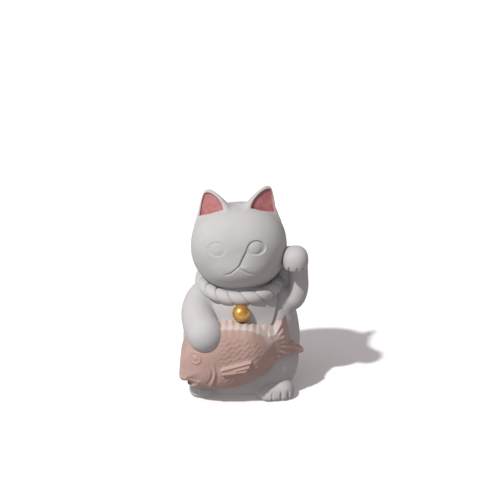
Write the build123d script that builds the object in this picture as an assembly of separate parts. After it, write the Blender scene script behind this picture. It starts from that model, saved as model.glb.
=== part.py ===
"""Beckoning cat figurine holding a sea bream: a hollow, matt white casting put together from separately cast parts.

The cat looks along -Y and stands on Z = 0. Its raised left paw is on +X, and the bream's head is on -X.
The torso and the head are hollow shells. Limbs, feet, tail, rope collar, bell and bream are solid castings that seat on
the shells with a thin bonding gap, most of them on a moulded peg. All sizes are in millimetres.
"""

from build123d import *

import os
from math import cos, pi, sin, sqrt

# Driving dimensions
WALL = 3.0  # thickness of the cast shells
GAP = 0.1  # bonding gap between two castings

# Torso: radius of the round plan at each height
TORSO_SIDE = [(26.0, 4.5), (27.6, 16.0), (27.6, 28.0), (24.9, 39.0), (20.6, 48.5), (15.6, 56.0)]
TORSO_FOOT_RADIUS = 24.6  # flat ring that the figurine stands on
NECK_RADIUS = 12.0
NECK_TOP = 62.0

# Head: a blunt egg, leaning a little to the side away from the raised paw
HEAD_CENTRE = (-0.6, -4.0, 71.2)
HEAD_RADIUS = 22.9
HEAD_HALF_HEIGHT = 20.9
HEAD_BLUNTNESS = 2.15  # exponent of the head's outline; 2 would be an ellipse
HEAD_LEAN = -3.0  # degrees about Y
HEAD_PROFILE_POINTS = 9

# Ears, each in a frame of its own that is turned outwards and leans back:
# height, offset across, depth of the middle, half width and half depth of its sections
EAR_PLACE = (10.9, -0.4, 18.3)
EAR_TURN = 30.0  # degrees about Z
EAR_LEAN = -14.0  # degrees about X
EAR_SECTIONS = [
    (-8.0, 0.4, 2.0, 8.4, 3.4),
    (-2.0, 1.0, 2.0, 8.2, 3.2),
    (3.0, 0.8, 1.7, 7.2, 2.8),
    (6.5, 1.7, 1.2, 5.4, 2.2),
    (9.3, 3.0, 0.6, 3.0, 1.5),
    (10.7, 3.6, 0.3, 1.0, 0.9),
]
EAR_RECESS = [(-5.6, 2.3), (-3.6, 5.3), (1.6, 8.6), (4.4, 8.6), (6.7, 4.0), (7.0, -2.2)]
EAR_RECESS_DEPTH = 4.0  # how far in front of its floor the recess is open

# Rope collar
COLLAR_CENTRE = (-0.2, -2.8, 53.9)
COLLAR_RADIUS = 18.3
COLLAR_ROPE_RADIUS = 3.0
COLLAR_TILT = 8.0  # degrees, front edge down

# Bell
BELL_RADIUS = 4.3
BELL_CENTRE = (0.6, -25.0, 45.4)

# Sea bream, wrapped round the belly: X, Y and Z of the middle, half height and half thickness of each section
BREAM_SECTIONS = [
    (-28.7, -25.6, 15.9, 2.2, 1.4),
    (-28.0, -25.8, 17.6, 4.6, 3.0),
    (-25.5, -26.4, 19.3, 8.4, 4.8),
    (-21.0, -27.2, 21.2, 12.0, 6.2),
    (-13.0, -28.2, 23.3, 14.9, 7.3),
    (-4.0, -28.6, 24.1, 15.4, 7.7),
    (4.0, -28.6, 24.7, 13.9, 7.3),
    (10.0, -27.2, 24.9, 11.2, 6.0),
    (15.0, -25.0, 25.6, 8.4, 4.6),
    (19.0, -22.6, 27.8, 5.4, 3.4),
]
BREAM_TAIL = [
    (15.5, 32.8), (19.4, 39.6), (20.8, 42.6), (22.9, 31.4), (24.2, 27.7), (31.3, 21.9), (28.2, 21.0), (17.0, 22.8),
]
BREAM_TAIL_FACE = [(12.0, -30.2), (15.0, -27.4), (24.0, -20.2), (31.5, -12.6)]  # front of the tail seen from above
BREAM_TAIL_BACK = -8.0  # the tail fin stands on the belly as a solid relief
BREAM_DORSAL = [
    (-13.0, 36.0), (-10.4, 40.8), (-7.4, 41.9), (-1.0, 41.8), (3.0, 40.8), (7.0, 38.9), (11.4, 36.3), (14.4, 33.9),
    (12.0, 32.0), (0.0, 34.0),
]
BREAM_DORSAL_FRONT = -31.2
BREAM_DORSAL_BACK = -16.0
BREAM_PECTORAL = [(-9.2, 20.0), (5.2, 24.8), (5.8, 23.4), (3.4, 19.8), (-8.6, 17.6)]
BREAM_PECTORAL_FRONT = -37.2
BREAM_PECTORAL_BACK = -30.0
BREAM_EYE = (-21.4, 25.7)
BREAM_EYE_RADIUS = 2.5
BREAM_EYE_MIDDLE = -32.2
BREAM_EYE_HEIGHT = 4.0
BREAM_MOUTH = [(-30.0, 13.9), (-24.4, 13.1), (-28.6, 11.0)]
BREAM_FRONT = -45.0  # a plane clear of the whole fish

# Forelegs: centre and radius of balls along each leg, from shoulder to paw
LOWERED_LEG = [
    ((-13.0, -3.5, 48.5), 8.2),
    ((-18.8, -8.5, 45.8), 7.4),
    ((-20.2, -16.0, 42.0), 8.0),
    ((-18.6, -24.0, 38.2), 8.5),
    ((-16.3, -28.8, 36.0), 8.7),
]
RAISED_UPPER_LEG = [((13.0, -2.5, 48.5), 8.0), ((20.0, -4.6, 44.6), 7.0), ((26.2, -6.6, 43.6), 6.2)]
RAISED_FOREARM = [
    ((26.4, -6.8, 43.4), 6.2),
    ((28.1, -7.4, 50.0), 5.0),
    ((28.1, -7.6, 57.0), 4.8),
    ((27.6, -8.2, 64.5), 5.0),
]
RAISED_PAW = [((27.6, -7.6, 66.8), 5.6), ((27.0, -10.5, 68.0), 6.3), ((26.5, -13.0, 68.0), 6.3)]

# Hind feet
FOOT_CENTRE = (18.5, -18.6, 0.0)
FOOT_RADIUS = 8.6
FOOT_HALF_LENGTH = 8.8
TOE_GROOVES = (-4.0, 0.0, 4.0)  # offsets across the foot
TOE_GROOVE_WIDTH = 0.8
TOE_GROOVE_DEPTH = 0.8

# Tail, lying round the back of the base
TAIL = [((12.0, 24.0, 8.0), 4.6), ((2.0, 28.4, 6.4), 4.9), ((-8.5, 27.2, 7.2), 4.3), ((-17.0, 22.8, 10.5), 3.2)]

# Closing disc under the torso, with the vent that a hollow casting needs
DISC_RADIUS = 21.0
DISC_THICKNESS = 2.6
DISC_RECESS = 0.6  # the disc sits this far up, so only the torso's ring touches the shelf
VENT_RADIUS = 3.0
LEDGE_WIDTH = 2.0  # ring inside the torso that the disc is bonded to
LEDGE_HEIGHT = 2.2

# Moulded pegs that locate the castings on the torso
PEG_RADIUS = 2.2
PEG_GAP = 0.05

DOME_STEPS = (0.995, 0.93, 0.75, 0.42)  # shares of an end ball's radius where its sections lie


def one_solid(shape):
    """The largest solid of a shape."""
    return max(shape.solids(), key=lambda s: s.volume)


def blunt_profile(width, height, exponent):
    """Half outline of a superellipse in XZ, from the bottom pole to the top pole, closed along Z."""
    points = []
    for step in range(HEAD_PROFILE_POINTS):
        angle = -pi / 2 + pi * step / (HEAD_PROFILE_POINTS - 1)
        c, s = max(cos(angle), 0.0), sin(angle)
        sign = 1 if s >= 0 else -1
        points.append((width * c ** (2 / exponent), 0, sign * height * abs(s) ** (2 / exponent)))
    points[0] = (0, 0, -height)
    points[-1] = (0, 0, height)
    outline = Spline(*points, tangents=[(1, 0, 0), (-1, 0, 0)])
    return make_face(outline + Line(points[-1], points[0]))


def torso_envelope(grow=0.0):
    """Outside of the torso with its neck, grown by a gap or shrunk by a wall."""
    side = [(r + grow, 0, z) for r, z in TORSO_SIDE]
    start = (TORSO_FOOT_RADIUS + grow, 0, 0)
    neck = NECK_RADIUS + grow
    shoulder_end = (neck, 0, 58.6 + grow)
    outline = Spline(start, *side, shoulder_end, tangents=[(0.8, 0, 1), (-0.25, 0, 1)])
    outline += Polyline(shoulder_end, (neck, 0, NECK_TOP), (0, 0, NECK_TOP), (0, 0, 0), start)
    return revolve(make_face(outline), Axis.Z)


def in_head_frame(shape):
    """Moves a shape from the head's own frame to its place, with the lean."""
    return Pos(*HEAD_CENTRE) * Rot(0, HEAD_LEAN, 0) * shape


def skull(grow=0.0):
    """Outside of the head without its ears, in the head's own frame."""
    return revolve(blunt_profile(HEAD_RADIUS + grow, HEAD_HALF_HEIGHT + grow, HEAD_BLUNTNESS), Axis.Z)


def ear(side):
    """One ear with its recess, in the head's own frame. side is +1 or -1."""
    sections = []
    for height, across, depth, half_width, half_depth in EAR_SECTIONS:
        plane = Plane(origin=(across, depth, height), x_dir=(1, 0, 0), z_dir=(0, 0, 1))
        sections.append(plane * Ellipse(half_width, half_depth))
    blank = loft(sections) - plate(EAR_RECESS, -EAR_RECESS_DEPTH, 0)
    placed = Pos(*EAR_PLACE) * Rot(0, 0, EAR_TURN) * Rot(EAR_LEAN, 0, 0) * blank
    return placed if side > 0 else mirror(placed, about=Plane.YZ)


def limb(balls, across=(1, 0, 0)):
    """A rounded limb through balls of given centres and radii."""
    centres = [Vector(*c) for c, _ in balls]
    path = Spline(*centres)
    stations = [(i / (len(balls) - 1), 0.0, r) for i, (_, r) in enumerate(balls)]
    first, last = balls[0][1], balls[-1][1]
    start_dome = [(0.0, -u * first, first * sqrt(1 - u * u)) for u in DOME_STEPS]
    end_dome = [(1.0, u * last, last * sqrt(1 - u * u)) for u in reversed(DOME_STEPS)]
    sections = []
    for share, beyond, radius in start_dome + stations + end_dome:
        along = path % share
        if share in (0.0, 1.0):
            centre = (path @ share) + along * beyond
        else:
            centre = centres[round(share * (len(balls) - 1))]
            along = path % path.param_at_point(centre)
        plane = Plane(origin=centre, x_dir=along.cross(Vector(*across)), z_dir=along)
        sections.append(plane * Circle(radius))
    return one_solid(loft(sections))


def peg(start, end, radius=PEG_RADIUS):
    """A round peg between two points."""
    a, b = Vector(*start), Vector(*end)
    plane = Plane(origin=a, z_dir=b - a)
    return extrude(plane * Circle(radius), amount=(b - a).length)


def egg(centre, radius, half_length, turn=Rot(0, 0, 0)):
    """A round egg, long along its own Z before the turn."""
    points = [(0, 0, -half_length), (radius, 0, 0), (0, 0, half_length)]
    outline = Spline(*points, tangents=[(1, 0, 0), (-1, 0, 0)]) + Line(points[-1], points[0])
    return Pos(*centre) * turn * revolve(make_face(outline), Axis.Z)


def plate(outline, front, back):
    """A flat fin: an outline in XZ, extruded from its front face at Y = front back to Y = back."""
    edge = Polyline(*[(x, front, z) for x, z in outline], close=True)
    return extrude(make_face(edge), amount=back - front, dir=(0, 1, 0))


PEGS = {
    "lowered_foreleg": [((-22.0, -12.0, 43.5), (-14.0, -7.6, 43.5))],
    "raised_foreleg": [((23.5, -5.6, 44.0), (14.5, -3.5, 44.0))],
    "sea_bream": [((-9.0, -29.0, 24.0), (-9.0, -21.0, 24.0)), ((8.0, -28.0, 24.0), (8.0, -21.0, 24.0))],
    "bell": [((0.6, -23.0, 45.4), (0.6, -16.5, 45.4))],
    "tail": [((1.0, 28.0, 7.6), (1.0, 22.5, 7.6))],
}
BELL_PEG_RADIUS = 1.2


def pegs_of(node, grow=0.0):
    radius = BELL_PEG_RADIUS if node == "bell" else PEG_RADIUS
    return [peg(a, b, radius + grow) for a, b in PEGS[node]]


def base_disc():
    blank = Cylinder(DISC_RADIUS, DISC_THICKNESS, align=(Align.CENTER, Align.CENTER, Align.MIN))
    vent = Cylinder(VENT_RADIUS, 4 * DISC_THICKNESS)
    return Pos(0, 0, DISC_RECESS) * (blank - vent)


def torso():
    """Hollow body, open below for the closing disc and above for the head."""
    cavity = torso_envelope(-WALL)
    disc_top = DISC_RECESS + DISC_THICKNESS
    opening = Cylinder(DISC_RADIUS + GAP, 2 * (disc_top + GAP))
    ledge_bore = Cylinder(DISC_RADIUS - LEDGE_WIDTH, 4 * (disc_top + LEDGE_HEIGHT))
    neck_bore = Pos(0, 0, NECK_TOP) * Cylinder(NECK_RADIUS - WALL, 4 * WALL)
    below = Box(80, 80, 2 * (disc_top + LEDGE_HEIGHT))
    shell = torso_envelope() - (cavity - below) - opening - ledge_bore - neck_bore
    for node in PEGS:
        for hole in pegs_of(node, PEG_GAP):
            shell -= hole
    return one_solid(shell)


def head():
    """Hollow head with both ears, open below where the neck enters."""
    outside = skull() + ear(1) + ear(-1)
    shell = in_head_frame(outside - skull(-WALL)) - torso_envelope(GAP)
    return one_solid(shell)


def collar_ring(grow=0.0):
    return Pos(*COLLAR_CENTRE) * Rot(COLLAR_TILT, 0, 0) * Torus(COLLAR_RADIUS, COLLAR_ROPE_RADIUS + grow)


def rope_collar():
    ring = collar_ring() - torso_envelope(GAP) - in_head_frame(skull(GAP))
    return one_solid(ring)


def bell():
    body = Pos(*BELL_CENTRE) * Sphere(BELL_RADIUS) - torso_envelope(GAP) - collar_ring(GAP)
    return one_solid(body + pegs_of("bell")[0])


def bream_blank():
    """The whole fish, before its back is fitted to the belly."""
    sections = []
    for x, y, z, half_height, half_thickness in BREAM_SECTIONS:
        plane = Plane(origin=(x, y, z), x_dir=(0, 0, 1), z_dir=(1, 0, 0))
        sections.append(plane * Ellipse(half_height, half_thickness))
    fish = one_solid(loft(sections)) + bream_tail()
    fish += plate(BREAM_DORSAL, BREAM_DORSAL_FRONT, BREAM_DORSAL_BACK)
    fish += plate(BREAM_PECTORAL, BREAM_PECTORAL_FRONT, BREAM_PECTORAL_BACK)
    x, z = BREAM_EYE
    fish += Pos(x, BREAM_EYE_MIDDLE, z) * Rot(90, 0, 0) * Cylinder(BREAM_EYE_RADIUS, BREAM_EYE_HEIGHT)
    return fish - plate(BREAM_MOUTH, BREAM_FRONT, 0.0)


def bream_tail():
    """Tail fin whose front face follows the belly round."""
    (first_x, _), (last_x, _) = BREAM_TAIL_FACE[0], BREAM_TAIL_FACE[-1]
    ahead = Polyline((first_x, BREAM_FRONT), *BREAM_TAIL_FACE, (last_x, BREAM_FRONT), close=True)
    return plate(BREAM_TAIL, BREAM_FRONT, BREAM_TAIL_BACK) - extrude(make_face(ahead), amount=NECK_TOP)


def sea_bream(blank, raised):
    fitted = one_solid(blank - torso_envelope(GAP) - Pos(*BELL_CENTRE) * Sphere(BELL_RADIUS + GAP) - raised)
    for pin in pegs_of("sea_bream"):
        fitted += pin
    return one_solid(fitted)


def lowered_foreleg(bream):
    leg = limb(LOWERED_LEG)
    for neighbour in (torso_envelope(GAP), collar_ring(GAP), in_head_frame(skull(GAP)), bream):
        leg = one_solid(leg - neighbour)
    return one_solid(leg + pegs_of("lowered_foreleg")[0])


def raised_foreleg():
    """Upper leg, upright forearm and the paw bent forward at its top."""
    leg = limb(RAISED_UPPER_LEG, (0, 1, 0)) + limb(RAISED_FOREARM, (0, 1, 0)) + limb(RAISED_PAW)
    for neighbour in (torso_envelope(GAP), collar_ring(GAP), in_head_frame(skull(GAP))):
        leg = one_solid(leg - neighbour)
    return one_solid(leg + pegs_of("raised_foreleg")[0])


def hind_foot(side):
    """Half an egg lying on the floor, with a groove between each pair of toes."""
    x, y, z = FOOT_CENTRE
    place = Pos(side * x, y, z)
    foot = egg((side * x, y, z), FOOT_RADIUS, FOOT_HALF_LENGTH, Rot(90, 0, 0))
    foot -= place * Pos(0, 0, -FOOT_RADIUS) * Box(4 * FOOT_RADIUS, 4 * FOOT_RADIUS, 2 * FOOT_RADIUS)
    for offset in TOE_GROOVES:
        reach = FOOT_RADIUS * sqrt(1 - (offset / FOOT_RADIUS) ** 2) * FOOT_HALF_LENGTH / FOOT_RADIUS
        disc = Cylinder(2 * reach, TOE_GROOVE_WIDTH) - Cylinder(reach - TOE_GROOVE_DEPTH, 2 * TOE_GROOVE_WIDTH)
        foot -= place * Pos(offset, 0, 0) * Rot(0, 90, 0) * disc
    return one_solid(foot - torso_envelope(GAP))


def tail():
    body = limb(TAIL, (0, 0, 1)) - torso_envelope(GAP)
    return one_solid(one_solid(body) + pegs_of("tail")[0])


def build():
    blank, raised = bream_blank(), raised_foreleg()
    parts = {
        "torso": torso(),
        "base_disc": base_disc(),
        "head": head(),
        "rope_collar": rope_collar(),
        "bell": bell(),
        "sea_bream": sea_bream(blank, raised),
        "lowered_foreleg": lowered_foreleg(blank),
        "raised_foreleg": raised,
        "left_hind_foot": hind_foot(1),
        "right_hind_foot": hind_foot(-1),
        "tail": tail(),
    }
    os.makedirs("parts", exist_ok=True)
    for name, shape in parts.items():
        export_step(shape, f"parts/{name}.step")
        print(name, shape.bounding_box())


build()
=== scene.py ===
"""Looks of the beckoning cat figurine: cast, hand-painted bisque.

Each casting is described as a smooth solid (a signed distance in millimetres), meshed, and settled onto
the exact surface. The white castings share one blended skin, which is split between them where one limb
gives way to the next.
"""

from math import cos, radians, sin, tau

import bpy
import numpy as np
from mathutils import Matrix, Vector


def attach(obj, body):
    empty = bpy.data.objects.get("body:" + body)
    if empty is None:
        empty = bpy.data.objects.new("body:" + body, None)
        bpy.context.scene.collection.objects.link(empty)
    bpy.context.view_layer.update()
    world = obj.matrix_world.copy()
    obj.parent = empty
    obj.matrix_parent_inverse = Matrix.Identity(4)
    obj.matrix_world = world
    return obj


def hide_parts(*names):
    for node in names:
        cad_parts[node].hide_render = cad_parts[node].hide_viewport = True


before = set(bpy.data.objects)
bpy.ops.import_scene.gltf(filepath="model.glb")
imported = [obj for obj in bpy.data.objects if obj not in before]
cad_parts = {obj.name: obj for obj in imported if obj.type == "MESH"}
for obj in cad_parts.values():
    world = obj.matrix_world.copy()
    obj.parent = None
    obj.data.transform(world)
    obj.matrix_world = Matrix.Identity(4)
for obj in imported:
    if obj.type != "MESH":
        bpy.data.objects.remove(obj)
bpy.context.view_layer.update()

MM = 0.001
COARSE, FINE, FISH_STEP, BELL_STEP = 0.42, 0.3, 0.26, 0.22  # mesh steps in mm
LINE_STEPS = 5  # points to each span of a drawn line or outline
TINY = 1e-6  # keeps divisions and powers away from zero
FAR = 1e3
GROOVE_FADE, GROOVE_END = 0.7, (0.6, 1.0)  # the share of depth a cut line loses, and where along it
LEDGE_WALL = (-0.15, 0.3)

# In what follows, a pair named FROM, ABOVE, BELOW, BEFORE or BEHIND gives the two places between which a
# feature sets in.

# ---------------------------------------------------------------- solids


def mix(a, b, t):
    return a + (b - a) * t


def smooth_step(low, high, value):
    t = np.clip((value - low) / (high - low), 0, 1)
    return t * t * (3 - 2 * t)


def blend(a, b, k):
    """Union of two solids with a fillet of about k."""
    h = np.clip(0.5 + 0.5 * (b - a) / k, 0, 1)
    return mix(b, a, h) - k * h * (1 - h)


def cut(a, b, k):
    """Common part of two solids with an edge rounded by about k."""
    return -blend(-a, -b, k)


def ridge(distance, height, width):
    """A soft ridge, highest where the distance is zero."""
    return height * np.exp(-((distance / width) ** 2))


def moved(p, centre, lean=0.0, pitch=0.0, turn=0.0):
    """Points in a solid's own frame: leaned about Y, pitched about X, turned about Z, in degrees."""
    x, y, z = p[0] - centre[0], p[1] - centre[1], p[2] - centre[2]
    if turn:
        c, s = cos(radians(turn)), sin(radians(turn))
        x, y = x * c + y * s, y * c - x * s
    if pitch:
        c, s = cos(radians(pitch)), sin(radians(pitch))
        y, z = y * c + z * s, z * c - y * s
    if lean:
        c, s = cos(radians(lean)), sin(radians(lean))
        x, z = x * c - z * s, z * c + x * s
    return x, y, z


def egg(p, radii, blunt=2.0):
    """Ellipsoid, or with a higher exponent a blunter body, around the origin of p."""
    scaled = [np.abs(v) / r + TINY for v, r in zip(p, radii)]
    size = sum(v**blunt for v in scaled) ** (1 / blunt)
    slopes = (v ** (blunt - 1) * size ** (1 - blunt) / r for v, r in zip(scaled, radii))
    return (size - 1) / np.sqrt(sum(slope**2 for slope in slopes))


def spline_point(a, b, c, d, t):
    """The point at a share t of the way from b to c, on a smooth line through a, b, c and d."""
    bend, twist = 2 * a - 5 * b + 4 * c - d, 3 * b - a - 3 * c + d
    return 0.5 * (2 * b + (c - a) * t + bend * t**2 + twist * t**3)


def smooth_run(points, steps):
    """Points on a smooth line through the given points."""
    pts = np.array(points, dtype=float)
    ends = np.vstack([2 * pts[0] - pts[1], pts, 2 * pts[-1] - pts[-2]])
    spans = zip(ends, ends[1:], ends[2:], ends[3:])
    return np.array([spline_point(*span, t) for span in spans for t in np.arange(steps) / steps] + [pts[-1]])


def smooth_loop(points, steps):
    """Points on a smooth closed outline through the given points."""
    pts = np.array(points, dtype=float)
    spans = zip(np.roll(pts, 1, 0), pts, np.roll(pts, -1, 0), np.roll(pts, -2, 0))
    return np.array([spline_point(*span, t) for span in spans for t in np.arange(steps) / steps])


class Limb:
    """A rounded limb along balls given as (x, y, z, radius)."""

    REACH = 7.0  # its distance is worked out this far around it

    def __init__(self, balls, steps=4):
        self.balls = smooth_run(balls, steps)
        centres, radii = self.balls[:, :3], self.balls[:, 3:]
        self.low = (centres - radii).min(0) - self.REACH
        self.high = (centres + radii).max(0) + self.REACH

    def __call__(self, p):
        near = np.ones(np.shape(p[0]), bool)
        for v, low, high in zip(p, self.low, self.high):
            near &= (v > low) & (v < high)
        out = np.full(np.shape(p[0]), 2 * self.REACH, np.float32)
        q = np.stack([v[near] for v in p])
        best = np.full(q.shape[1], FAR, np.float32)
        for a, b in zip(self.balls[:-1], self.balls[1:]):
            length = np.linalg.norm((b - a)[:3])
            taper = (a[3] - b[3]) / length
            offset = q - a[:3, None]
            along = np.tensordot((b - a)[:3] / length, offset, 1)
            across = np.sqrt(np.maximum((offset**2).sum(0) - along**2, 0))
            foot = np.clip(along - across * taper / np.sqrt(1 - taper**2), 0, length)
            best = np.minimum(best, np.hypot(along - foot, across) - a[3] + taper * foot)
        out[near] = best
        return out


class Relief:
    """A quantity over the XZ plane, worked out once on a fine grid and then looked up."""

    BORDER = 1.001  # keeps a looked-up cell inside the grid

    def __init__(self, area, step, shape):
        self.low, self.step = area[0], step
        axes = [np.arange(low, high, step) for low, high in zip(*area)]
        x, z = np.meshgrid(*axes, indexing="ij")
        self.grid = shape(x, z).astype(np.float32)

    def __call__(self, x, z):
        u = np.clip((x - self.low[0]) / self.step, 0, self.grid.shape[0] - self.BORDER)
        v = np.clip((z - self.low[1]) / self.step, 0, self.grid.shape[1] - self.BORDER)
        i, j = u.astype(np.int32), v.astype(np.int32)
        s, t = u - i, v - j
        g = self.grid
        return mix(mix(g[i, j], g[i + 1, j], s), mix(g[i, j + 1], g[i + 1, j + 1], s), t)


def line_distance(x, z, points):
    """Distance to an open line in the plane, and the share of the line passed at the nearest point."""
    best, place = np.full(np.shape(x), FAR), np.zeros(np.shape(x))
    steps = len(points) - 1
    for i, (a, b) in enumerate(zip(points[:-1], points[1:])):
        dx, dz = b[0] - a[0], b[1] - a[1]
        t = np.clip(((x - a[0]) * dx + (z - a[1]) * dz) / (dx * dx + dz * dz + TINY**2), 0, 1)
        d = np.hypot(x - a[0] - t * dx, z - a[1] - t * dz)
        closer = d < best
        best[closer], place[closer] = d[closer], ((i + t) / steps)[closer]
    return best, place


def outline_distance(x, z, points):
    """Signed distance to a closed outline in the plane, negative inside."""
    loop = np.vstack([points, points[:1]])
    away, _ = line_distance(x, z, loop)
    inside = np.zeros(np.shape(x), bool)
    for a, b in zip(loop[:-1], loop[1:]):
        crosses = (a[1] > z) != (b[1] > z)
        inside ^= crosses & (x < (b[0] - a[0]) * (z - a[1]) / (b[1] - a[1] + TINY**2) + a[0])
    return np.where(inside, -away, away)


def outside_of(outline, steps=LINE_STEPS):
    """Signed distance to a smooth outline through the given points, as a function of the plane."""
    return lambda x, z: outline_distance(x, z, smooth_loop(outline, steps))


def groove(x, z, line, depth, width):
    """A cut along a line that runs out towards its end."""
    away, passed = line_distance(x, z, smooth_run(line, LINE_STEPS))
    return ridge(away, depth, width) * (1 - GROOVE_FADE * smooth_step(*GROOVE_END, passed))


def ledge(x, z, line, drop, reach, fade=0.8):
    """A step down on the +x side of an upright line, easing out over its reach and fading at both ends."""
    run = smooth_run(sorted(line, key=lambda point: point[1]), LINE_STEPS)
    beyond = x - np.interp(z, run[:, 1], run[:, 0])
    bottom, top = run[0, 1], run[-1, 1]
    ends = smooth_step(bottom - fade, bottom + fade, z) * smooth_step(top + fade, top - fade, z)
    return drop * ends * smooth_step(*LEDGE_WALL, beyond) * np.exp(-np.maximum(beyond, 0) / reach)


# ---------------------------------------------------------------- meshing


def surface_net(values, low, step):
    """Quads around the zero surface of sampled values."""
    inside = values < 0
    span = [n - 1 for n in values.shape]

    def corner(a, o):
        return a[o[0] : o[0] + span[0], o[1] : o[1] + span[1], o[2] : o[2] + span[2]]

    corners = [(i, j, k) for i in (0, 1) for j in (0, 1) for k in (0, 1)]
    count = sum(corner(inside, o).astype(np.int8) for o in corners)
    mixed = (count > 0) & (count < len(corners))
    cells = np.argwhere(mixed)
    number = np.full(mixed.shape, -1, np.int32)
    number[mixed] = np.arange(len(cells))
    at = {o: values[tuple((cells + o).T)] for o in corners}
    total, hits = np.zeros((len(cells), 3)), np.zeros(len(cells))
    for a in corners:
        for axis in range(3):
            if a[axis]:
                continue
            b = tuple(v + (i == axis) for i, v in enumerate(a))
            crossed = (at[a] < 0) != (at[b] < 0)
            t = at[a][crossed] / (at[a][crossed] - at[b][crossed])
            place = np.tile(np.array(a, float), (crossed.sum(), 1))
            place[:, axis] += t
            total[crossed] += place
            hits[crossed] += 1
    verts = np.array(low) + (cells + total / hits[:, None]) * step
    faces = []
    for axis in range(3):
        one, two = [i for i in range(3) if i != axis]
        first = [slice(1, n) for n in span]
        first[axis] = slice(0, span[axis])
        second = list(first)
        second[axis] = slice(1, span[axis] + 1)
        a, b = inside[tuple(first)], inside[tuple(second)]
        edges = np.argwhere(a != b) + [0 if i == axis else 1 for i in range(3)]
        outward = inside[tuple(edges.T)]
        ring = []
        for d_one, d_two in ((1, 1), (0, 1), (0, 0), (1, 0)):
            cell = edges.copy()
            cell[:, one] -= d_one
            cell[:, two] -= d_two
            ring.append(number[tuple(cell.T)])
        quads = np.stack(ring, 1)
        flip = outward if axis == 1 else ~outward
        quads[flip] = quads[flip][:, ::-1]
        faces.append(quads)
    return verts, np.vstack(faces)


def settle(verts, solid, step, rounds=3, probe=0.04, least_slope=0.05):
    """Moves the points of a net onto the solid's own surface."""
    reach = 0.5 * step
    for _ in range(rounds):
        p = [v.copy() for v in verts.T]
        value = solid(p)
        slope = []
        for axis in range(3):
            ahead, behind = list(p), list(p)
            ahead[axis], behind[axis] = p[axis] + probe, p[axis] - probe
            slope.append((solid(ahead) - solid(behind)) / (2 * probe))
        slope = np.stack(slope, 1)
        move = -(value / np.maximum((slope**2).sum(1), least_slope))[:, None] * slope
        size = np.maximum(np.abs(move).max(1) / reach, 1)
        verts = verts + move / size[:, None]
    return verts


def hollow_or_crest(verts, solid, reach=0.8):
    """How far the surface stands out (positive) or lies in (negative) against its surroundings."""
    p = list(verts.T)
    total = 0
    for axis in range(3):
        for way in (-reach, reach):
            q = list(p)
            q[axis] = p[axis] + way
            total = total + solid(q)
    return total / 6


def store(mesh, name, values):
    """Keeps one number per point of a mesh for its material."""
    layer = mesh.attributes.new(name, "FLOAT", "POINT")
    layer.data.foreach_set("value", np.asarray(values, np.float32))


def cast(node, solid, low, high, step, slot, paints):
    """Meshes a solid and puts it in the place of a CAD node."""
    name = f"{node}_skin"
    low, high = np.array(low, float), np.array(high, float)
    axes = [np.arange(a, b + step, step).astype(np.float32) for a, b in zip(low, high)]
    values = solid(np.meshgrid(*axes, indexing="ij"))
    verts, quads = surface_net(values, low, step)
    verts = settle(verts, solid, step)
    mesh = bpy.data.meshes.new(name)
    mesh.from_pydata((verts * MM).tolist(), [], quads.tolist())
    mesh.polygons.foreach_set("use_smooth", np.ones(len(quads), bool))
    for paint, amount in paints.items():
        store(mesh, paint, amount(verts))
    store(mesh, "crest", hollow_or_crest(verts, solid))
    mesh.update()
    piece = bpy.data.objects.new(name, mesh)
    bpy.context.scene.collection.objects.link(piece)
    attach(piece, "root")
    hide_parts(node)
    return piece


# ---------------------------------------------------------------- head

HEAD, HEAD_LEAN = (-0.5, -4.0, 71.2), -3.0
HEAD_RADII = (23.1, 21.3, 21.2)
HEAD_BLUNT, HEAD_BLUNT_FROM = (2.05, 2.3), (-6, 6)  # rounder below, squarer above
MUZZLE, MUZZLE_RADII, MUZZLE_FILLET = (0.0, -14.5, -4.5), (10.0, 6.2, 5.6), 6.0
FACE_FROM = (-8, -12)  # the depths between which the side of the head becomes the face

EAR, EAR_TURN, EAR_PITCH = (10.9, -0.4, 18.3), 30.0, -14.0
EAR_SPLAY = 0.2  # the ear on the raised paw's side stands further outward
EAR_OUTLINE = [
    (-7.0, 3.0), (-4.6, 6.4), (-1.2, 9.0), (2.2, 10.5), (4.6, 10.6), (6.4, 9.3), (7.6, 6.0), (8.6, 1.0),
    (9.2, -4.0), (7.0, -8.0), (-7.0, -4.0),
]
EAR_RECESS = [
    (-5.7, 2.3), (-5.6, 2.5), (-3.6, 5.5), (-1.2, 7.5), (1.6, 8.9), (4.2, 9.1), (6.0, 7.9), (6.9, 4.0),
    (7.4, -2.1), (7.3, -2.3), (7.1, -2.3), (0.3, -0.2), (-5.5, 2.2),
]
EAR_LINE_STEPS = 6
EAR_HEIGHT, EAR_RIM, EAR_ROOT_BACK, EAR_TIP_BACK = 10, 0.9, 5.0, 1.6
EAR_EDGE, EAR_FILLET = 1.6, 3.0
EAR_CARVE, EAR_CARVE_FLOOR, EAR_CARVE_EDGE = 3.0, 0.2, 0.35

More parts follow.
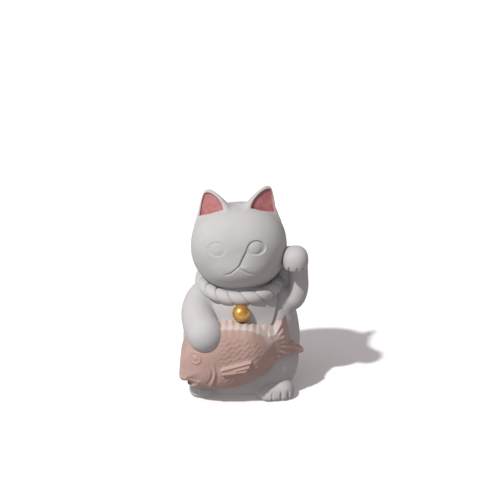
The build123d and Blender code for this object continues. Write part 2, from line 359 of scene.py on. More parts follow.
EYE = [
    (13.6, 6.9), (11.9, 9.0), (9.2, 9.9), (6.8, 9.4), (5.3, 7.8), (4.8, 6.0), (6.6, 3.9), (9.7, 3.0),
    (12.4, 3.6), (13.7, 5.1),
]
EYE_DEPTH, EYE_WALL = 0.65, (0.2, -0.25)
EYEBALL, EYEBALL_RADIUS, EYEBALL_RISE, EYEBALL_CROWN = (9.3, 6.5), 3.1, 0.65, 0.8
FACE_MIDDLE = -0.8
FACE_SIDES = ((1, 1.0, 1.0), (-1, 0.36, 0.1))  # side, strength of its eye, strength of its nose line
NOSE_LINE = [(4.9, 6.3), (3.9, 4.3), (2.4, 1.6), (1.2, -0.7), (0.6, -1.8)]
NOSE_LEDGE, NOSE_CUT = (0.8, 2.4), (0.55, 0.32)
MOUTH_LINES = (
    [(-0.4, -1.8), (-2.0, -3.2), (-4.3, -5.0), (-7.2, -6.1)],
    [(-0.4, -1.8), (1.7, -3.4), (4.2, -5.2), (6.8, -6.4)],
)
MOUTH_CUT = (0.6, 0.36)
FACE_AREA, EAR_AREA = ((-18, -12), (18, 14)), ((-12, -12), (14, 16))
HEAD_RELIEF_STEP = 0.1


def face_relief(x, z):
    """How deep the face is cut at each place. The cat's right eye and nose line are pressed in less."""
    depth = np.zeros(np.shape(x))
    for side, eye, line in FACE_SIDES:
        across = side * (x - FACE_MIDDLE)
        depth += eye * EYE_DEPTH * smooth_step(*EYE_WALL, outside_of(EYE)(across, z))
        ball = np.hypot(across - EYEBALL[0], z - EYEBALL[1]) / EYEBALL_RADIUS
        depth -= eye * EYEBALL_RISE * np.clip(1 - ball**2, 0, 1) ** EYEBALL_CROWN
        depth = np.maximum(depth, line * ledge(across, z, NOSE_LINE, *NOSE_LEDGE))
        depth += line * groove(across, z, NOSE_LINE[::-1], *NOSE_CUT)
    for mouth_line in MOUTH_LINES:
        depth = np.maximum(depth, groove(x, z, mouth_line, *MOUTH_CUT))
    return depth


face_depth = Relief(FACE_AREA, HEAD_RELIEF_STEP, face_relief)
ear_outline = Relief(EAR_AREA, HEAD_RELIEF_STEP, outside_of(EAR_OUTLINE, EAR_LINE_STEPS))
ear_recess = Relief(EAR_AREA, HEAD_RELIEF_STEP, outside_of(EAR_RECESS, EAR_LINE_STEPS))


def ear_frame(q):
    """Across, depth and height in the nearer ear's own frame."""
    across, depth, up = moved((np.abs(q[0]), q[1], q[2]), EAR, pitch=EAR_PITCH, turn=EAR_TURN)
    return across - np.where(q[0] > 0, EAR_SPLAY, 0) * np.maximum(up, 0), depth, up


def ear_hollow(q):
    across, depth, up = ear_frame(q)
    layer = np.abs(depth + EAR_CARVE / 2) - EAR_CARVE / 2
    return cut(ear_recess(across, up), layer, EAR_CARVE_FLOOR)


def skull(q):
    body = egg(q, HEAD_RADII, mix(*HEAD_BLUNT, smooth_step(*HEAD_BLUNT_FROM, q[2])))
    return blend(body, egg(moved(q, MUZZLE), MUZZLE_RADII), MUZZLE_FILLET)


def head_solid(p):
    q = moved(p, HEAD, lean=HEAD_LEAN)
    across, depth, up = ear_frame(q)
    back = mix(EAR_ROOT_BACK, EAR_TIP_BACK, smooth_step(0, EAR_HEIGHT, up))
    ears = cut(ear_outline(across, up), np.maximum(-EAR_RIM - depth, depth - back), EAR_EDGE)
    body = cut(blend(skull(q), ears, EAR_FILLET), -ear_hollow(q), EAR_CARVE_EDGE)
    return body + face_depth(q[0], q[2]) * smooth_step(*FACE_FROM, q[1])


def ear_paint(verts):
    return ear_hollow(moved(list(verts.T), HEAD, lean=HEAD_LEAN))


# ---------------------------------------------------------------- torso and limbs

TORSO_SIDE = [  # height, radius
    (-2, 24.6), (0, 24.8), (6, 26.0), (14, 27.3), (23, 28.6), (35, 27.0), (43, 24.0), (50, 20.2), (56, 15.6),
    (61, 11.0), (66, 4.0),
]
TORSO_STEPS, TORSO_SHIFT, TORSO_SHALLOWER = 6, 0.7, 1.05
TORSO_BLUNT, TORSO_BLUNT_FROM = (2.0, 2.35), (30, 4)  # squarer towards the floor
HAUNCH, HAUNCH_SHIFT, HAUNCH_RADII = (14.6, -8.5, 14.5), 0.4, (12.9, 16.2, 15.0)
CHEST, CHEST_RADII = (0.5, -8.0, 45.0), (14.5, 15.2, 13.0)
TORSO_FILLET = 4.0
torso_run = smooth_run(TORSO_SIDE, TORSO_STEPS)
torso_slope = np.gradient(torso_run[:, 1], torso_run[:, 0])

CHEST_CREASE = [(13.0, 35.0), (15.8, 39.3), (17.7, 46.0), (17.1, 50.4), (15.8, 54.0)]
CREASE_LEDGE, CREASE_FROM = (1.7, 3.0, 2.5), (-6, -10)
CREASE_AREA, CREASE_STEP = ((2, 28), (32, 60)), 0.15
chest_crease = Relief(CREASE_AREA, CREASE_STEP, lambda x, z: ledge(x, z, CHEST_CREASE, *CREASE_LEDGE))

lowered = Limb(
    [
        (-13.0, -3.5, 48.5, 8.2), (-18.8, -8.5, 45.8, 7.4), (-20.2, -16.0, 42.0, 8.0),
        (-18.6, -24.0, 38.2, 8.5), (-16.3, -28.8, 36.0, 8.7),
    ]
)
raised = Limb(
    [
        (13.0, -2.5, 48.5, 8.0), (19.6, -4.4, 45.0, 6.9), (25.4, -6.0, 45.2, 5.6), (28.1, -6.0, 50.5, 4.9),
        (28.2, -5.0, 57.0, 4.7), (27.7, -5.4, 64.0, 4.9),
    ]
)
arm_web = Limb([(17.0, 0.2, 48.0, 6.6), (21.8, 0.6, 56.0, 6.0), (24.4, -0.6, 65.0, 5.0)])
ARM_WEB_FILLET = 2.0
tail_limb = Limb(
    [(11.0, 23.0, 7.6, 4.4), (2.0, 27.2, 5.6, 4.8), (-8.0, 26.4, 6.6, 4.3), (-16.0, 22.4, 10.5, 3.0)], steps=9
)

RAISED_PAW, PAW_RADII, PAW_BLUNT = (26.6, -13.2, 68.0), (6.1, 7.4, 6.7), 2.3
PAW_SOLE, PAW_SOLE_EDGE, PAW_FILLET = -3.9, 0.8, 1.0
PAW_TOES, PAW_TOE_CUT = (-3.2, 0.7, 3.3), (0.75, 0.42)
PAW_TOES_BELOW, PAW_TOES_BEFORE = (-0.6, -2.6), (1.0, -2.0)

FEET = {1: (18.2, -20.4, 1.6), -1: (-16.8, -16.4, 0.8)}
FOOT_RADII, FOOT_BLUNT = {1: (8.1, 7.4, 7.6), -1: (8.0, 8.2, 7.0)}, 2.5
INNER_TOE, INNER_TOE_RADII, INNER_TOE_FILLET = (13.4, -22.2, 1.2), (5.4, 6.2, 6.6), 3.0
TOES = {  # place and depth of each cut
    1: ((15.6, 0.5), (19.8, 1.0), (23.2, 1.0)),
    -1: ((-20.4, 0.2), (-16.8, 0.2), (-13.2, 0.2)),
}
TOE_CUT_WIDTH, TOES_BEFORE, TOES_BELOW = 0.5, (-20.5, -23.5), (6.0, 3.0)

# Fillets where a limb meets the torso: two widths and the heights between which one becomes the other.
LOWERED_FILLET, LOWERED_FILLET_FROM = (1.2, 4.0), (40, 50)
RAISED_FILLET, RAISED_FILLET_FROM = (2.0, 3.0), (46, 40)
FOOT_FILLET, TAIL_FILLET, HEM_EDGE = 1.0, 1.5, 2.4
ARCH_RISE, ARCH_MIDDLE, ARCH_SIDE, ARCH_BEFORE = 2.0, -1, (14, 5), (-8, -14)  # hem between the hind feet
LAP, LAP_DIP = 2.0, 0.3  # how far a casting runs on under its neighbour, and how steeply it sinks there


def torso_solid(p):
    x, y, z = p[0] - TORSO_SHIFT, p[1], p[2]
    radius = np.interp(z, torso_run[:, 0], torso_run[:, 1])
    blunt = mix(*TORSO_BLUNT, smooth_step(*TORSO_BLUNT_FROM, z))
    reach = (np.abs(x) ** blunt + np.abs(y * TORSO_SHALLOWER) ** blunt + TINY) ** (1 / blunt)
    body = (reach - radius) / np.sqrt(1 + np.interp(z, torso_run[:, 0], torso_slope) ** 2)
    for side in (-1, 1):
        haunch = (side * HAUNCH[0] + HAUNCH_SHIFT, *HAUNCH[1:])
        body = blend(body, egg(moved(p, haunch), HAUNCH_RADII), TORSO_FILLET)
    return blend(body, egg(moved(p, CHEST), CHEST_RADII), TORSO_FILLET)


def raised_solid(p):
    q = moved(p, RAISED_PAW)
    paw = egg(q, PAW_RADII, PAW_BLUNT)
    reach = smooth_step(*PAW_TOES_BELOW, q[2]) * smooth_step(*PAW_TOES_BEFORE, q[1])
    for toe in PAW_TOES:
        paw = paw + ridge(q[0] - toe, *PAW_TOE_CUT) * reach
    paw = cut(paw, PAW_SOLE - q[2], PAW_SOLE_EDGE)
    return blend(blend(raised(p), arm_web(p), ARM_WEB_FILLET), paw, PAW_FILLET)


def foot_solid(p, side):
    foot = egg(moved(p, FEET[side]), FOOT_RADII[side], FOOT_BLUNT)
    if side > 0:
        foot = blend(foot, egg(moved(p, INNER_TOE), INNER_TOE_RADII), INNER_TOE_FILLET)
    reach = smooth_step(*TOES_BEFORE, p[1]) * smooth_step(*TOES_BELOW, p[2])
    for toe, depth in TOES[side]:
        foot = foot + ridge(p[0] - toe, depth, TOE_CUT_WIDTH) * reach
    return foot


def skin(p):
    """Blended outside of all the white body castings."""
    x, y, z = p
    body = torso_solid(p)
    body = blend(body, lowered(p), mix(*LOWERED_FILLET, smooth_step(*LOWERED_FILLET_FROM, z)))
    body = blend(body, raised_solid(p), mix(*RAISED_FILLET, smooth_step(*RAISED_FILLET_FROM, z)))
    body = body + chest_crease(x, z) * smooth_step(*CREASE_FROM, y)
    for side in (-1, 1):
        body = blend(body, foot_solid(p, side), FOOT_FILLET)
    body = blend(body, tail_limb(p), TAIL_FILLET)
    arch = ARCH_RISE * smooth_step(*ARCH_SIDE, np.abs(x - ARCH_MIDDLE)) * smooth_step(*ARCH_BEFORE, y)
    return cut(body, arch - z, HEM_EDGE)


CASTINGS = {
    "torso": torso_solid,
    "lowered_foreleg": lowered,
    "raised_foreleg": raised_solid,
    "left_hind_foot": lambda p: foot_solid(p, 1),
    "right_hind_foot": lambda p: foot_solid(p, -1),
    "tail": tail_limb,
}


def casting_solid(name):
    """The part of the blended skin that belongs to one casting, with a lap under its neighbours."""

    def solid(p):
        own = CASTINGS[name](p)
        others = np.full(np.shape(own), FAR)
        for other, shape in CASTINGS.items():
            if other != name:
                others = np.minimum(others, shape(p))
        past = own - others
        return np.maximum(skin(p) + LAP_DIP * np.clip(past, 0, LAP), past - LAP)

    return solid


# ---------------------------------------------------------------- rope collar and bell

ROPE_CENTRE, ROPE_TILT = (-0.2, -2.8, 53.8), 8.0
ROPE_RING, ROPE_THICK, ROPE_TURNS, ROPE_TWIST = 18.3, 3.4, 18, 1.5
STRAND_SWELL, STRAND_CUT = 0.3, (0.5, 0.11)
ROPE_EASE = 0.9  # keeps the distance true where the strands are steep
BELL, BELL_RADII = (0.6, -25.2, 45.4), (4.3, 4.3, 4.3)


def rope_solid(p):
    x, y, z = moved(p, ROPE_CENTRE, pitch=ROPE_TILT)
    out = np.hypot(x, y) - ROPE_RING
    phase = (ROPE_TURNS * np.arctan2(y, x) + ROPE_TWIST * np.arctan2(z, out)) / tau
    from_groove = np.abs(phase - np.round(phase)) * 2
    strand = STRAND_SWELL * (1 - from_groove) ** 2 + ridge(from_groove, *STRAND_CUT)
    return (np.hypot(out, z) - ROPE_THICK + strand) * ROPE_EASE


def bell_solid(p):
    return egg(moved(p, BELL), BELL_RADII)


# ---------------------------------------------------------------- sea bream

BREAM_BODY = [
    (-25.0, 11.0), (-29.0, 11.6), (-28.9, 17.6), (-27.6, 24.1), (-23.4, 31.5), (-19.0, 35.4), (-14.2, 37.6),
    (-12.2, 38.8), (-11.0, 40.6), (-8.6, 41.3), (-4.0, 41.4), (1.0, 41.2), (5.2, 40.6), (8.8, 39.0),
    (12.4, 36.6), (14.8, 35.1), (18.4, 33.0), (19.8, 28.0), (18.6, 22.6), (15.8, 18.3), (14.2, 15.6),
    (9.3, 13.3), (-1.3, 8.8), (-9.9, 7.6), (-16.0, 7.7), (-22.0, 8.2), (-25.4, 9.3), (-23.6, 10.3),
]
BREAM_TAIL = [
    (13.6, 34.8), (16.4, 35.0), (18.2, 37.0), (19.7, 39.6), (20.2, 39.6), (20.8, 36.6), (21.8, 30.6),
    (22.6, 27.6), (23.2, 27.0), (26.4, 24.2), (30.5, 20.2), (30.3, 19.4), (26.6, 20.8), (22.0, 22.0),
    (17.0, 22.4),
]
BREAM_AREA, BREAM_RELIEF_STEP = ((-32, 5), (36, 50)), 0.12

# The rim: its depth in Y, how it wraps round the belly, and how the tail's upper lobe leans back.
BREAM_EDGE, BREAM_BACK = -29.6, -8.0
WRAP_TAIL, WRAP_TAIL_FROM, WRAP_HEAD, WRAP_HEAD_FROM = 0.022, 2, 0.006, -5
LOBE_LEAN, LOBE_LEAN_FROM, LOBE_FROM = 0.5, 32, (14, 19)

# The swell of the side, flatter towards the tail and the belly.
BREAM_SWELL, SWELL_WIDTH, SWELL_CROWN = 6.4, 11.5, 0.62
THIN_TAIL, THIN_TAIL_FROM = 0.5, (6, 20)
THIN_BELLY, THIN_BELLY_FROM, THIN_BELLY_BELOW = 0.25, (-6, 8), (20, 10)

# The dorsal fin: notches along its top and rays down its side.
DORSAL_ARCH, DORSAL_RAY_START, DORSAL_RAY_PACE = 0.25, 0.6, 1.9
NOTCH_DEPTH, NOTCH_ABOVE, NOTCH_BEFORE = 0.5, (37, 40), (12, 9)
DORSAL_RAY, DORSAL_RAY_SINK, DORSAL_RAY_ABOVE, DORSAL_RAY_BEFORE = 0.3, 0.6, (37, 41), (13, 9)

# The tail fin, with rays that spread like a fan.
FAN_FILLET = 1.0
FAN_ROOT, FAN_THICK, FAN_THINNING, FAN_BORDER = (13.0, 29.6), 2.3, 0.05, (-1.2, 0.6)
FAN_RAY, FAN_RAYS_ROUND, FAN_RAY_FROM = 0.45, 21, (6.0, 9.0)

GILL = [(-14.0, 10.6), (-12.4, 14.6), (-11.6, 18.6), (-12.2, 22.4)]
GILL_LEDGE, GILL_RIM, GILL_RIM_BELOW = (0.7, 2.2, 2.5), (0.45, 0.6), (23, 18)
GILL_FRONT, GILL_FRONT_CUT = [(-15.4, 12.6), (-13.8, 15.6), (-13.2, 18.6), (-14.2, 21.6)], (0.5, 0.5)

SCALE_LENGTH, SCALE_WIDTH, SCALE_SLOPE = 2.1, 2.5, 18.0
SCALE_UNEVEN, SCALE_UNEVEN_PACE, SCALE_UNEVEN_ACROSS = 0.3, (12.9, 7.3), 0.6
SCALE_STRETCH, SCALE_FOOT, SCALE_RISE, SCALE_TOP = (1.05, 0.98), 0.25, 0.75, 1.2
SCALE_HEIGHT, SCALE_SINK = 0.3, 0.3
SCALES_PAST_GILL, SCALES_INSIDE, SCALES_BEFORE = (1.5, 4.0), (3.0, 6.5), (14.0, 8.0)

PECTORAL = [(-8.9, 21.4), (-2.0, 23.6), (5.0, 25.6), (5.6, 24.2), (3.2, 19.8), (-2.0, 18.2), (-8.3, 17.6)]
PECTORAL_RAYS = [((-8.6, 20.6), (5.0, 24.8)), ((-8.2, 18.4), (2.8, 20.2)), ((-2.0, 20.6), (4.4, 22.4))]
PECTORAL_ROOT, PECTORAL_HEIGHT, PECTORAL_BORDER = (-9, 20), 0.75, (-0.3, 0.6)
PECTORAL_SLOPES, PECTORAL_RAY = (0.05, 0.04), (0.5, 0.6)

BREAM_EYE, EYE_RING_RADIUS, EYE_RING, PUPIL = (-21.4, 25.7), 2.6, (0.5, 0.5), (0.7, 1.4)
BREAM_LIP, LIP_STEPS, LIP_RIDGE = [(-29.0, 13.8), (-24.0, 13.4), (-19.8, 13.0)], 4, (0.45, 0.55)

# The side wall behind the rim: it flares out under the tail and slopes up behind the dorsal fin.
WALL_START, WALL_REACH = 1.0, 6.0
FLARE, FLARE_FROM, FLARE_ABOVE = 0.35, (18, 21), (23, 27)
SLOPE, SLOPE_FROM, SLOPE_BEFORE, SLOPE_ABOVE = 0.28, (9, 13), (20.0, 17.0), (31, 34)
RIM_EDGES, RIM_EDGES_FROM, BACK_EDGE = (1.4, 0.7), (14, 18), 0.5
FRONT_EASE, RIM_EASE = 0.8, 0.85  # keep the distance true where the relief is steep

# Where the pink is painted paler: painted light on the up-facing wall, a painted highlight along the upper
# edge, and spots.
LIT_WALL, LIT_WALL_BEHIND, LIT_WALL_ABOVE, LIT_WALL_BEFORE = 0.8, (-3.5, -0.5), (31, 34), (21, 19)
HIGHLIGHT_EDGE, HIGHLIGHT_EDGE_NEAR, HIGHLIGHT_EDGE_ABOVE, HIGHLIGHT_EDGE_BEFORE = 0.7, (-2.2, -0.6), (35, 37), (17, 14)
PALE_SPOTS = (  # centre, size and strength of the tail's root, its fading border and the cheek
    ((15.4, 34.8), (2.6, 2.0), 1.0),
    ((14.6, 32.5), (4.2, 3.4), 0.6),
    ((-26.5, 30.0), (2.6, 4.0), 0.6),
)


def edge_plane(x, z):
    """Where the fish's rim lies in Y: it wraps round the belly, and the tail's upper lobe lies back."""
    wrap = WRAP_TAIL * np.maximum(x - WRAP_TAIL_FROM, 0) ** 2
    wrap = wrap + WRAP_HEAD * np.minimum(x - WRAP_HEAD_FROM, 0) ** 2
    return BREAM_EDGE + wrap + LOBE_LEAN * np.maximum(z - LOBE_LEAN_FROM, 0) * smooth_step(*LOBE_FROM, x)


def dorsal_rays(x):
    return 0.5 + 0.5 * np.cos((x + DORSAL_RAY_START) * DORSAL_RAY_PACE)


def fish_outline(x, z):
    fin_height = z + DORSAL_ARCH * np.abs(x)
    notches = NOTCH_DEPTH * (1 - dorsal_rays(x)) * smooth_step(*NOTCH_ABOVE, fin_height)
    notches = notches * smooth_step(*NOTCH_BEFORE, x)
    return blend(notches + outside_of(BREAM_BODY)(x, z), outside_of(BREAM_TAIL)(x, z), FAN_FILLET)


def scales(x, z):
    """Overlapping scales, a little uneven: each rises towards its rear edge and drops there."""
    c, s = cos(radians(SCALE_SLOPE)), sin(radians(SCALE_SLOPE))
    along, across = (x * c + z * s) / SCALE_LENGTH, (z * c - x * s) / SCALE_WIDTH
    best = np.zeros(np.shape(x))
    for step in (-1, 0, 1):
        column = np.floor(along) + step
        shift = np.where(column % 2 == 0, 0.0, 0.5)
        row = np.round(across - shift) + shift
        uneven = SCALE_UNEVEN * np.sin(column * SCALE_UNEVEN_PACE[0] + row * SCALE_UNEVEN_PACE[1])
        du, dv = along - column - 0.5 + uneven, (across - row + SCALE_UNEVEN_ACROSS * uneven) * 2
        size = np.hypot(du * SCALE_STRETCH[0], dv * SCALE_STRETCH[1])
        rise = SCALE_FOOT + SCALE_RISE * np.clip(du + 0.5, 0, SCALE_TOP)
        best = np.maximum(best, rise * np.clip(1 - size**3, 0, 1))
    return best


def pectoral_fin(x, z):
    """How far the pectoral fin stands out from the fish's side."""
    root_x, root_z = PECTORAL_ROOT
    fin = PECTORAL_HEIGHT + PECTORAL_SLOPES[0] * (x - root_x) - PECTORAL_SLOPES[1] * np.abs(z - root_z)
    for ray_line in PECTORAL_RAYS:
        fin = fin + ridge(line_distance(x, z, np.array(ray_line))[0], *PECTORAL_RAY)
    return fin


def fish_height(x, z):
    """How far the fish's front stands out from its rim."""
    inward = -outside_of(BREAM_BODY)(x, z)
    swell = (1 - (1 - np.clip(inward / SWELL_WIDTH, 0, 1)) ** 2) ** SWELL_CROWN
    full = BREAM_SWELL * (1 - THIN_TAIL * smooth_step(*THIN_TAIL_FROM, x))
    full = full * (1 - THIN_BELLY * smooth_step(*THIN_BELLY_BELOW, z) * smooth_step(*THIN_BELLY_FROM, x))
    height = full * swell

    ray = np.arctan2(z - FAN_ROOT[1], x - FAN_ROOT[0])
    root = np.hypot(x - FAN_ROOT[0], z - FAN_ROOT[1])
    fan = FAN_THICK + FAN_RAY * np.cos(ray * FAN_RAYS_ROUND) * smooth_step(*FAN_RAY_FROM, root)
    fan = fan - FAN_THINNING * root
    height = np.maximum(height, fan * smooth_step(*FAN_BORDER, -outside_of(BREAM_TAIL)(x, z)))
    rays = DORSAL_RAY * (dorsal_rays(x) - DORSAL_RAY_SINK) * smooth_step(*DORSAL_RAY_BEFORE, x)
    height += rays * smooth_step(*DORSAL_RAY_ABOVE, z + DORSAL_ARCH * np.abs(x))

    height -= ledge(x, z, GILL, *GILL_LEDGE)
    gill, _ = line_distance(x, z, smooth_run(GILL, LINE_STEPS))
    height += ridge(gill, *GILL_RIM) * smooth_step(*GILL_RIM_BELOW, z)
    height -= groove(x, z, GILL_FRONT, *GILL_FRONT_CUT)

    gill_x = np.interp(z, [point[1] for point in GILL], [point[0] for point in GILL])
    covered = smooth_step(*SCALES_PAST_GILL, x - gill_x) * smooth_step(*SCALES_INSIDE, inward)
    covered = covered * smooth_step(*SCALES_BEFORE, x)
    height += SCALE_HEIGHT * (scales(x, z) - SCALE_SINK) * covered

    fin = BREAM_SWELL * swell + pectoral_fin(x, z)
    height = mix(height, fin, smooth_step(*PECTORAL_BORDER, -outside_of(PECTORAL)(x, z)))

    eye = np.hypot(x - BREAM_EYE[0], z - BREAM_EYE[1])
    height += ridge(eye - EYE_RING_RADIUS, *EYE_RING) + ridge(eye, *PUPIL)
    lip, _ = line_distance(x, z, smooth_run(BREAM_LIP, LIP_STEPS))
    return height + ridge(lip, *LIP_RIDGE)


fish_rim = Relief(BREAM_AREA, BREAM_RELIEF_STEP, fish_outline)
fish_front = Relief(BREAM_AREA, BREAM_RELIEF_STEP, fish_height)


def fish_solid(p):
    x, y, z = p
    edge = edge_plane(x, z)
    front = edge - fish_front(x, z) - y
    behind = np.clip(y - edge + WALL_START, 0, WALL_REACH)
    flare = FLARE * smooth_step(*FLARE_FROM, x) * smooth_step(*FLARE_ABOVE, z) * behind
    slope = SLOPE * smooth_step(*SLOPE_FROM, x) * smooth_step(*SLOPE_BEFORE, x) * behind
    slope = slope * smooth_step(*SLOPE_ABOVE, z)
    rounding = mix(*RIM_EDGES, smooth_step(*RIM_EDGES_FROM, x))
    body = cut(front * FRONT_EASE, (fish_rim(x - flare, z) - slope) * RIM_EASE, rounding)
    return cut(body, y - BREAM_BACK, BACK_EDGE)


def lit_pale_top(verts):
    """Painted light on the fish: paler pink on the up-facing walls of the dorsal fin, a painted highlight
    along its upper edge and at the tail's root, and a pale spot on the cheek.
    """
    x, y, z = verts.T
    wall = LIT_WALL * smooth_step(*LIT_WALL_BEHIND, y - edge_plane(x, z))
    wall = wall * smooth_step(*LIT_WALL_ABOVE, z) * smooth_step(*LIT_WALL_BEFORE, x)
    edge = HIGHLIGHT_EDGE * smooth_step(*HIGHLIGHT_EDGE_NEAR, fish_rim(x, z))
    edge = edge * smooth_step(*HIGHLIGHT_EDGE_ABOVE, z) * smooth_step(*HIGHLIGHT_EDGE_BEFORE, x)
    paler = wall + edge
    for (u, w), (wide, high), strength in PALE_SPOTS:
        paler = paler + strength * np.exp(-(((x - u) / wide) ** 2) - ((z - w) / high) ** 2)
    return np.clip(paler, 0, 1)


# ---------------------------------------------------------------- materials


def nodes_of(name):
    material = bpy.data.materials.new(name)
    material.use_nodes = True
    tree = material.node_tree
    return material, tree, tree.nodes["Principled BSDF"]


def add(tree, kind, **values):
    node = tree.nodes.new(kind)
    for key, value in values.items():
        if key in node.inputs:
            node.inputs[key].default_value = value
        else:
            setattr(node, key, value)
    return node


def level(tree, source, low, high, full=1.0):
    """Eases from 0 to full as the source goes from low to high."""
    node = add(tree, "ShaderNodeMapRange", interpolation_type="SMOOTHSTEP")
    for key, value in zip(("From Min", "From Max", "To Min", "To Max"), (low, high, 0.0, full)):
        node.inputs[key].default_value = value
    tree.links.new(source, node.inputs["Value"])
    return node.outputs["Result"]


MIX_AMOUNT, MIX_A, MIX_B, MIX_RESULT = 0, 6, 7, 2  # the sockets of a Mix node that mixes colours


def mixed(tree, amount, a, b):
    node = tree.nodes.new("ShaderNodeMix")
    node.data_type = "RGBA"
    for place, value in ((MIX_AMOUNT, amount), (MIX_A, a), (MIX_B, b)):
        socket = node.inputs[place]
        if isinstance(value, (tuple, list)):
            socket.default_value = (*value, 1)
        elif isinstance(value, float):
            socket.default_value = value
        else:
            tree.links.new(value, socket)
    return node.outputs[MIX_RESULT]


def attribute(tree, name):
    return add(tree, "ShaderNodeAttribute", attribute_name=name).outputs["Fac"]


def noise(tree, scale, detail=4.0, rough=0.55):
    where = add(tree, "ShaderNodeTexCoord").outputs["Object"]
    node = add(tree, "ShaderNodeTexNoise", Scale=scale, Detail=detail, Roughness=rough)
    tree.links.new(where, node.inputs["Vector"])
    return node.outputs["Fac"]


# The third colour of the white and the pink set is a painted highlight for edges that stand out; the second
# gives the random mottling and, darkened, the painted shade in hollows.
WHITE, WHITE_SHADE, WHITE_HIGHLIGHT = (0.465, 0.459, 0.462), (0.45, 0.444, 0.447), (0.53, 0.524, 0.525)
PINK, PINK_SHADE, PINK_HIGHLIGHT = (0.43, 0.30, 0.265), (0.40, 0.27, 0.235), (0.49, 0.38, 0.345)
# Paler pink for the painted light on the fish's top and its painted highlights, and for a pale spot on the
# cheek.
PINK_LIT_PALE = (0.54, 0.47, 0.44)
EAR_PINK, EAR_PINK_DEEP = (0.45, 0.19, 0.19), (0.38, 0.14, 0.145)
GOLD, GOLD_DEEP = (0.62, 0.35, 0.085), (0.46, 0.23, 0.04)
CLAY_ROUGHNESS, PAINT_ROUGHNESS, CLAY_GLOSS = 0.78, 0.7, 0.32
GOLD_SURFACE = {"Metallic": 0.65, "Roughness": 0.38, "Coat Weight": 0.6, "Coat Roughness": 0.24}

# Noise as (scale per metre, detail) or (scale per metre, detail, roughness).
CLOUDS, EAR_CLOUDS, GOLD_CLOUDS = (160, 3), (420, 4), (500, 4)

# Bump as (noise, strength, depth in metres).
WAVES, GRAIN = ((140, 2, 0.5), 0.35, 0.0006), ((2600, 3, 0.6), 0.22, 0.00012)
GOLD_GRAIN = ((900, 4), 0.4, 0.0002)

# What a mask reaches over, as (from, to) or (from, to, strength).
CLOUD_RANGE, CREST_RANGE, HOLLOW_RANGE = (0.3, 0.7), (0.05, 0.45, 0.75), (-0.04, -0.4, 0.55)
EAR_CLOUD_RANGE, EAR_RANGE, LIT_PALE_RANGE = (0.35, 0.65), (0.18, 0.02), (0.25, 0.95, 0.85)
GOLD_CLOUD_RANGE = (0.35, 0.7)
# How dark the painted shade in hollows is, as a share of the darker mottling colour.
HOLLOW_DARKER = 0.62


def bumpy(tree, shader, *layers):
    """Stacks bump layers, the last one on top."""
    below = None
    for texture, strength, depth in layers:
        bump = add(tree, "ShaderNodeBump", Strength=strength, Distance=depth)
        tree.links.new(noise(tree, *texture), bump.inputs["Height"])
        if below is not None:
            tree.links.new(below.outputs["Normal"], bump.inputs["Normal"])
        below = bump
    tree.links.new(below.outputs["Normal"], shader.inputs["Normal"])


def bisque(name, base, shade, highlight, roughness=CLAY_ROUGHNESS, paint=None):
    """Matt fired clay or paint on it: soft mottling, a fine grain, painted shade in hollows and a painted
    highlight on edges that stand out.
    """
    material, tree, shader = nodes_of(name)
    colour = mixed(tree, level(tree, noise(tree, *CLOUDS), *CLOUD_RANGE), shade, base)
    crest = attribute(tree, "crest")
    # Painted highlight: lighter on edges that stand out, where light catches them.
    colour = mixed(tree, level(tree, crest, *CREST_RANGE), colour, highlight)
    # Painted shade: darker in hollows and creases, where shade falls.
    hollow_shade = tuple(HOLLOW_DARKER * v for v in shade)
    colour = mixed(tree, level(tree, crest, *HOLLOW_RANGE), colour, hollow_shade)
    if paint:
        colour = paint(tree, colour)
    tree.links.new(colour, shader.inputs["Base Color"])
    shader.inputs["Roughness"].default_value = roughness
    shader.inputs["Specular IOR Level"].default_value = CLAY_GLOSS
    bumpy(tree, shader, WAVES, GRAIN)
    return material


def ear_colour(tree, colour):
    ear = mixed(tree, level(tree, noise(tree, *EAR_CLOUDS), *EAR_CLOUD_RANGE), EAR_PINK_DEEP, EAR_PINK)
    return mixed(tree, level(tree, attribute(tree, "ear_hollow"), *EAR_RANGE), colour, ear)


# Painted light: paler pink where the fish's top faces the light and on its painted highlights.
def lit_pale_colour(tree, colour):
    return mixed(tree, level(tree, attribute(tree, "lit_pale"), *LIT_PALE_RANGE), colour, PINK_LIT_PALE)


def gold_paint():
    material, tree, shader = nodes_of("gold_paint")
    colour = mixed(tree, level(tree, noise(tree, *GOLD_CLOUDS), *GOLD_CLOUD_RANGE), GOLD_DEEP, GOLD)
    tree.links.new(colour, shader.inputs["Base Color"])
    for socket, value in GOLD_SURFACE.items():
        shader.inputs[socket].default_value = value
    bumpy(tree, shader, GOLD_GRAIN)
    return material


white = bisque("white_bisque", WHITE, WHITE_SHADE, WHITE_HIGHLIGHT)
head_white = bisque("white_bisque_head", WHITE, WHITE_SHADE, WHITE_HIGHLIGHT, paint=ear_colour)
pink = bisque("pink_painted_bisque", PINK, PINK_SHADE, PINK_HIGHLIGHT, PAINT_ROUGHNESS, paint=lit_pale_colour)
gold = gold_paint()

# ---------------------------------------------------------------- pieces

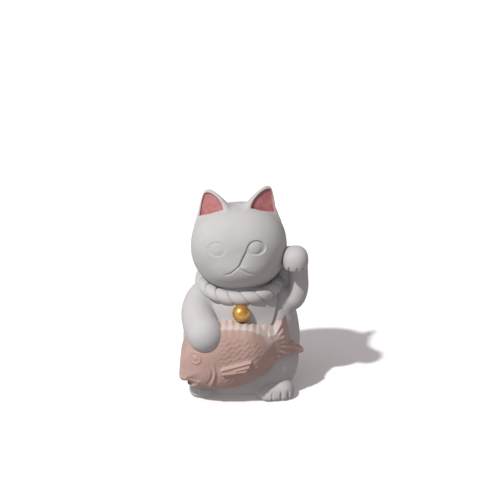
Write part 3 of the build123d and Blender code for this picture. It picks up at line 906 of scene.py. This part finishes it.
EAR_PAINTS = {"ear_hollow": ear_paint}
WHITE_SLOT, PINK_SLOT, GOLD_SLOT = "white_bisque", "pink_painted_bisque", "gold_painted_bisque"
BODY_BOXES = {  # lowest and highest corner of the space that is meshed, and the mesh step
    "torso": ((-30, -30, -1), (32, 31, 66), COARSE),
    "lowered_foreleg": ((-31, -40, 24), (-2, 6, 62), FINE),
    "raised_foreleg": ((4, -22, 34), (35, 8, 77), FINE),
    "left_hind_foot": ((8, -30, -1), (30, -4, 12), FINE),
    "right_hind_foot": ((-29, -30, -1), (-7, -4, 12), FINE),
    "tail": ((-21, 16, -1), (18, 34, 16), FINE),
}
PIECES = [(node, casting_solid(node), box, WHITE_SLOT, white, {}) for node, box in BODY_BOXES.items()] + [
    ("head", head_solid, ((-26, -29, 49), (25, 19, 102), FINE), WHITE_SLOT, head_white, EAR_PAINTS),
    ("rope_collar", rope_solid, ((-23, -26, 47), (24, 21, 62), FINE), WHITE_SLOT, white, {}),
    ("bell", bell_solid, ((-5, -31, 40), (6, -20, 51), BELL_STEP), GOLD_SLOT, gold, {}),
    ("sea_bream", fish_solid, ((-31, -39, 7), (34, -7, 47), FISH_STEP), PINK_SLOT, pink, {"lit_pale": lit_pale_top}),
]
for node, solid, box, slot, material, paints in PIECES:
    cast(node, solid, *box, slot, paints).data.materials.append(material)

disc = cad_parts["base_disc"]
disc.data.materials.clear()
disc.data.materials.append(white)

# ---------------------------------------------------------------- floor, light, camera


FLOOR_HALF = 4  # metres
FLOOR_COLOUR, FLOOR_ROUGHNESS, FLOOR_GLOSS = (0.95, 0.96, 0.965, 1), 0.9, 0.1
SUN_FROM, SUN_STRENGTH, SUN_SPREAD, SUN_COLOUR = (-0.435, -0.445, 0.782), 3.0, 2.5, (1.0, 0.985, 0.96)
FILL_FROM, FILL_STRENGTH, FILL_SPREAD, FILL_COLOUR = (-0.9, -0.35, 0.25), 0.6, 90, (0.97, 0.98, 1.0)
STUDIO_COLOUR, STUDIO_STRENGTH = (1.0, 0.91, 0.92, 1), 0.42
CAMERA_AIM, CAMERA_DISTANCE, CAMERA_RISE = (0.0048, -0.002, 0.0687), 1.061, 21.5
SENSOR_WIDTH, LENS, NEAREST, FARTHEST = 36.0, 158.4, 0.05, 20


def plain_floor():
    half = FLOOR_HALF
    corners = [(-half, -half, 0), (half, -half, 0), (half, half, 0), (-half, half, 0)]
    mesh = bpy.data.meshes.new("floor")
    mesh.from_pydata(corners, [], [(0, 1, 2, 3)])
    floor = bpy.data.objects.new("floor", mesh)
    bpy.context.scene.collection.objects.link(floor)
    material, _, shader = nodes_of("floor_paper")
    shader.inputs["Base Color"].default_value = FLOOR_COLOUR
    shader.inputs["Roughness"].default_value = FLOOR_ROUGHNESS
    shader.inputs["Specular IOR Level"].default_value = FLOOR_GLOSS
    mesh.materials.append(material)
    floor.visible_diffuse = False


def soft_sun(name, source, strength, spread, colour):
    """Distant lamp in the given direction."""
    lamp = bpy.data.lights.new(name, "SUN")
    lamp.energy, lamp.angle, lamp.color = strength, radians(spread), colour
    holder = bpy.data.objects.new(name, lamp)
    bpy.context.scene.collection.objects.link(holder)
    holder.rotation_mode = "QUATERNION"
    holder.rotation_quaternion = (-Vector(source)).to_track_quat("-Z", "Y")


def add_camera():
    data = bpy.data.cameras.new("camera")
    data.sensor_width, data.lens = SENSOR_WIDTH, LENS
    data.clip_start, data.clip_end = NEAREST, FARTHEST
    camera = bpy.data.objects.new("camera", data)
    bpy.context.scene.collection.objects.link(camera)
    aim, tilt = Vector(CAMERA_AIM), radians(CAMERA_RISE)
    camera.location = aim + Vector((0, -cos(tilt), sin(tilt))) * CAMERA_DISTANCE
    camera.rotation_mode = "QUATERNION"
    camera.rotation_quaternion = (aim - camera.location).to_track_quat("-Z", "Y")
    bpy.context.scene.camera = camera


plain_floor()
soft_sun("key", SUN_FROM, SUN_STRENGTH, SUN_SPREAD, SUN_COLOUR)
soft_sun("fill", FILL_FROM, FILL_STRENGTH, FILL_SPREAD, FILL_COLOUR)
world = bpy.data.worlds.new("studio")
world.use_nodes = True
background = world.node_tree.nodes["Background"]
background.inputs["Color"].default_value = STUDIO_COLOUR
background.inputs["Strength"].default_value = STUDIO_STRENGTH
bpy.context.scene.world = world
bpy.context.scene.view_settings.view_transform = "Standard"
add_camera()
